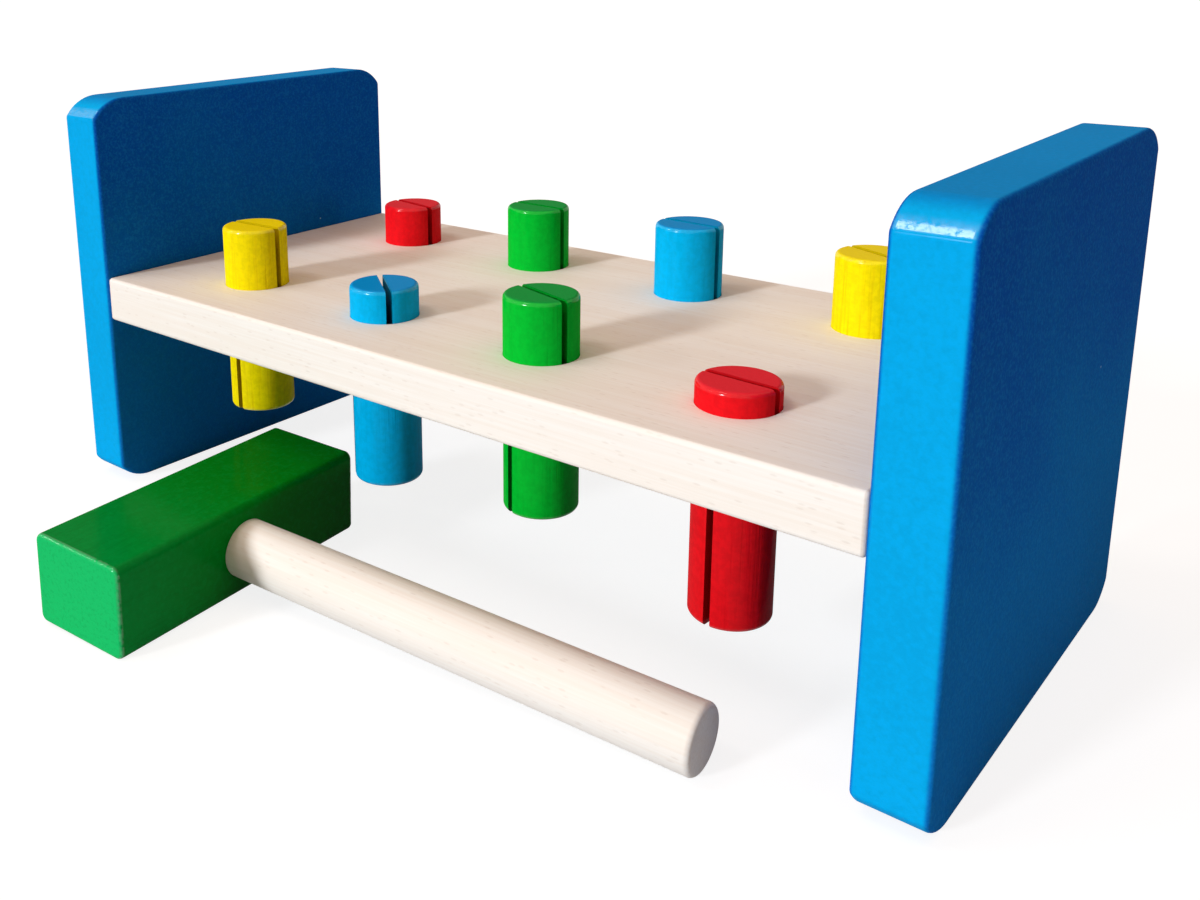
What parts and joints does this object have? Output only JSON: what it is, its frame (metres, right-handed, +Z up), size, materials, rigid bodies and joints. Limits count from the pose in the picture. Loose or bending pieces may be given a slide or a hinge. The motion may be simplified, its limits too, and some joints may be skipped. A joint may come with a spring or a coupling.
{
  "type": "peg pounding bench",
  "caption": "Wooden toy bench: a bored plank between two upright panels holds split pegs that a small mallet drives through, then the bench is turned over.",
  "frame": {"origin": "on the floor, midway between the two upright panels and midway between their front and back edges", "axes": "+X along the plank from the yellow front peg's end to the red front peg's end, +Y from the front row of pegs to the back row, +Z up"},
  "size_m": [0.244, 0.165, 0.11],
  "materials": {
    "panel_paint": "satin blue paint over wood",
    "plank_beech": "smooth bare beech",
    "dowel_beech": "bare beech",
    "yellow_paint": "gloss yellow paint over wood",
    "blue_paint": "gloss blue paint over wood",
    "green_paint": "gloss green paint over wood",
    "red_paint": "gloss red paint over wood",
    "head_paint": "gloss green paint over open-grained wood",
    "handle_beech": "smooth bare beech"
  },
  "bodies": {
    "bench": {"left_panel": "panel_paint", "right_panel": "panel_paint", "plank": "plank_beech", "front_left_dowel": "dowel_beech", "back_left_dowel": "dowel_beech", "front_right_dowel": "dowel_beech", "back_right_dowel": "dowel_beech"},
    "front_yellow": {"front_yellow_peg": "yellow_paint"},
    "front_blue": {"front_blue_peg": "blue_paint"},
    "front_green": {"front_green_peg": "green_paint"},
    "front_red": {"front_red_peg": "red_paint"},
    "back_red": {"back_red_peg": "red_paint"},
    "back_green": {"back_green_peg": "green_paint"},
    "back_blue": {"back_blue_peg": "blue_paint"},
    "back_yellow": {"back_yellow_peg": "yellow_paint"},
    "mallet": {"mallet_head": "head_paint", "mallet_handle": "handle_beech"}
  },
  "joints": [
    {"name": "front_yellow_drive", "type": "slide", "parent": "bench", "child": "front_yellow", "axis": [0, 0, 1], "range_m": [-0.016, 0.022]},
    {"name": "front_blue_drive", "type": "slide", "parent": "bench", "child": "front_blue", "axis": [0, 0, 1], "range_m": [-0.008, 0.03]},
    {"name": "front_green_drive", "type": "slide", "parent": "bench", "child": "front_green", "axis": [0, 0, 1], "range_m": [-0.014, 0.024]},
    {"name": "front_red_drive", "type": "slide", "parent": "bench", "child": "front_red", "axis": [0, 0, 1], "range_m": [-0.005, 0.033]},
    {"name": "back_red_drive", "type": "slide", "parent": "bench", "child": "back_red", "axis": [0, 0, 1], "range_m": [-0.0115, 0.0265]},
    {"name": "back_green_drive", "type": "slide", "parent": "bench", "child": "back_green", "axis": [0, 0, 1], "range_m": [-0.017, 0.021]},
    {"name": "back_blue_drive", "type": "slide", "parent": "bench", "child": "back_blue", "axis": [0, 0, 1], "range_m": [-0.0185, 0.0195]},
    {"name": "back_yellow_drive", "type": "slide", "parent": "bench", "child": "back_yellow", "axis": [0, 0, 1], "range_m": [-0.018, 0.02]},
    {"name": "mallet_draw", "type": "slide", "parent": "bench", "child": "mallet", "axis": [0, -1, 0], "range_m": [0, 0.15]}
  ]
}
